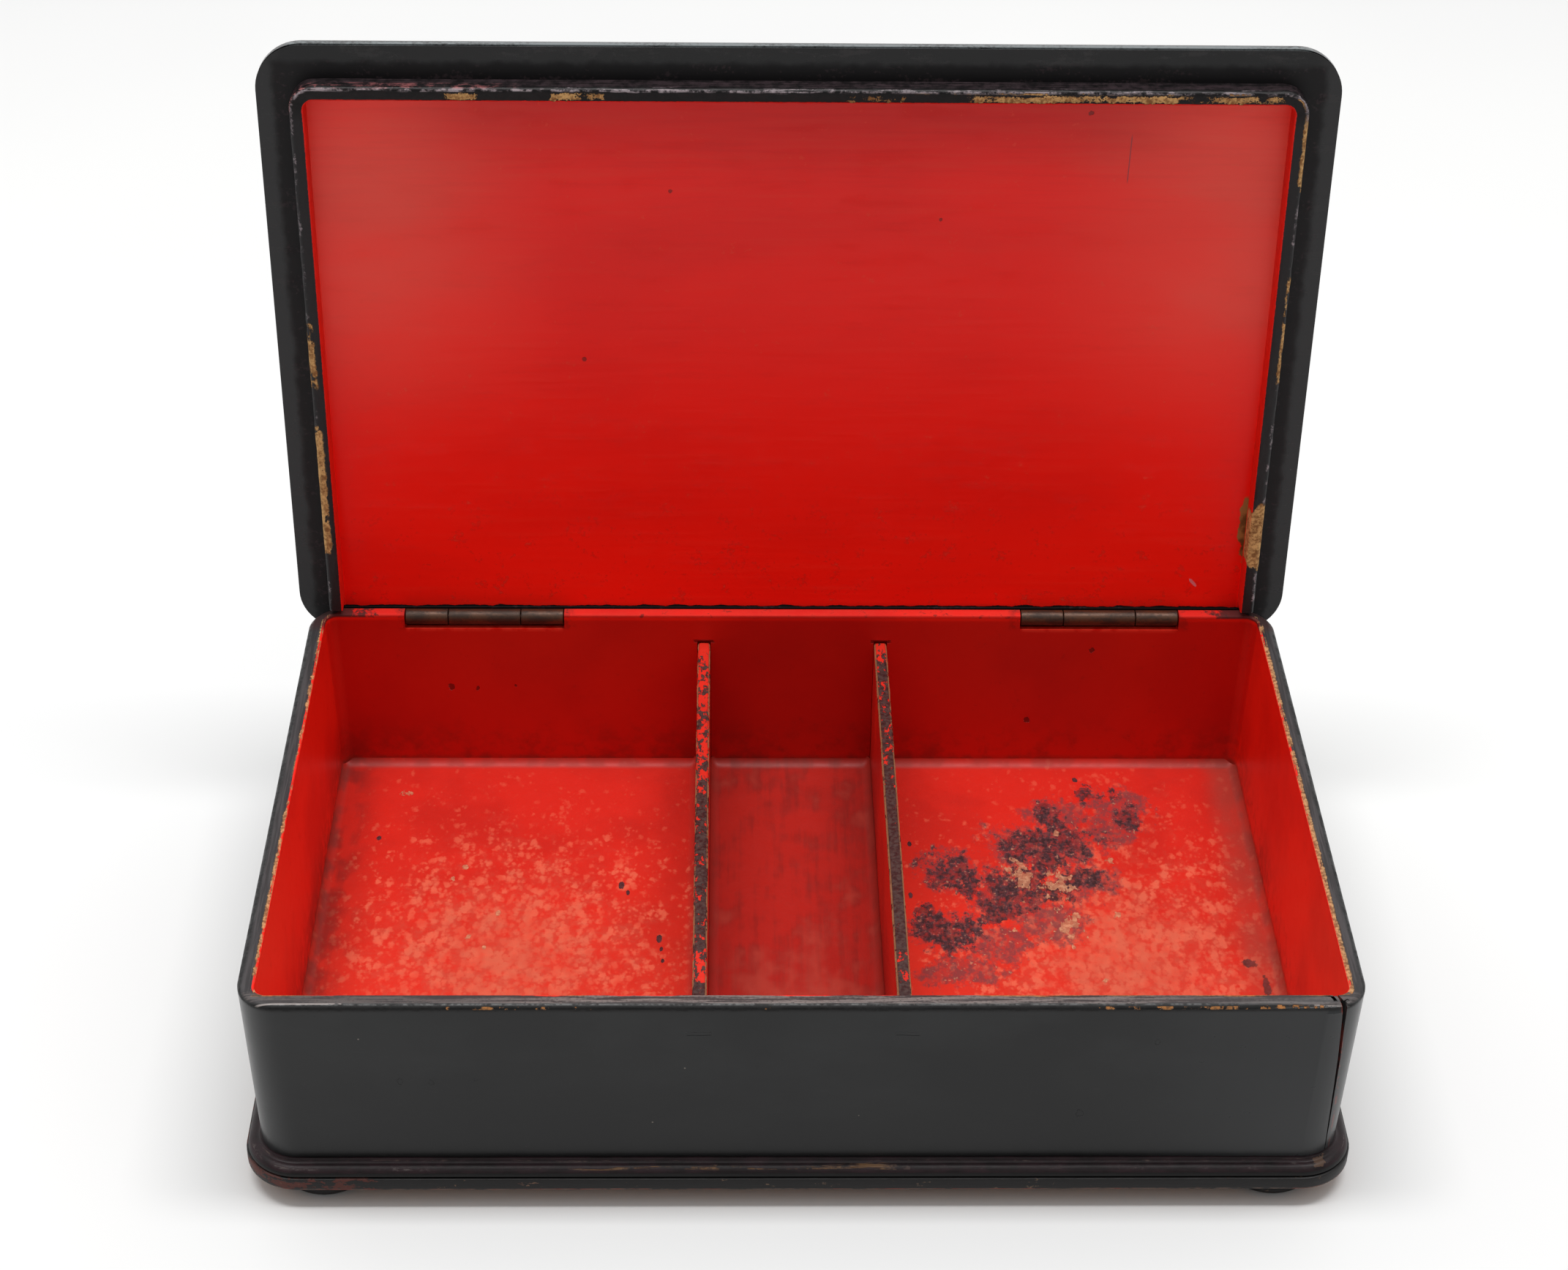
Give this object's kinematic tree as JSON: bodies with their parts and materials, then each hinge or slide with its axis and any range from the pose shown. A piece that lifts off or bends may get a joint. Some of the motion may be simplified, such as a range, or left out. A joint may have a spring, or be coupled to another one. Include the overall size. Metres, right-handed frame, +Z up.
{
  "type": "lacquer box",
  "caption": "Oblong black lacquer box with a red inside parted into compartments, a moulded foot and a low domed lid on flush hinges, shown open.",
  "frame": {"origin": "on the surface that the box stands on, under the middle of the whole object with its lid open", "axes": "+X to the right along the front, +Y to the back where the hinges are, +Z up"},
  "size_m": [0.2254, 0.1504, 0.187],
  "materials": {
    "black_lacquer": "black lacquer over board, semi-gloss, scratched and chipped to a tan core at the arrises; red on the faces that look into the box",
    "red_lacquer": "vermilion lacquer over a dark ground, semi-gloss, rubbed through on the floors and on the partitions' top edges",
    "rubbed_lacquer": "black-brown lacquer, rubbed to red and tan along the mouldings",
    "dark_brass": "old brass, browned, with a dull shine on top of the barrels"
  },
  "bodies": {
    "body": {"front_wall": "black_lacquer", "back_wall": "black_lacquer", "left_wall": "black_lacquer", "right_wall": "black_lacquer", "base_board": "red_lacquer", "left_divider": "red_lacquer", "right_divider": "red_lacquer", "plinth_front": "rubbed_lacquer", "plinth_back": "rubbed_lacquer", "plinth_left": "rubbed_lacquer", "plinth_right": "rubbed_lacquer", "foot_front_left": "rubbed_lacquer", "foot_front_right": "rubbed_lacquer", "foot_back_left": "rubbed_lacquer", "foot_back_right": "rubbed_lacquer", "left_hinge_body_leaf": "dark_brass", "left_hinge_pin": "dark_brass", "right_hinge_body_leaf": "dark_brass", "right_hinge_pin": "dark_brass"},
    "lid": {"lid_board": "black_lacquer", "lid_strip_front": "black_lacquer", "lid_strip_left": "black_lacquer", "lid_strip_right": "black_lacquer", "left_hinge_lid_leaf": "dark_brass", "right_hinge_lid_leaf": "dark_brass"}
  },
  "joints": [
    {"name": "lid_hinge", "type": "hinge", "parent": "body", "child": "lid", "pos_m": [0, 0.06139, 0.05015], "axis": [1, 0, 0], "range_deg": [0, 92.5]}
  ]
}
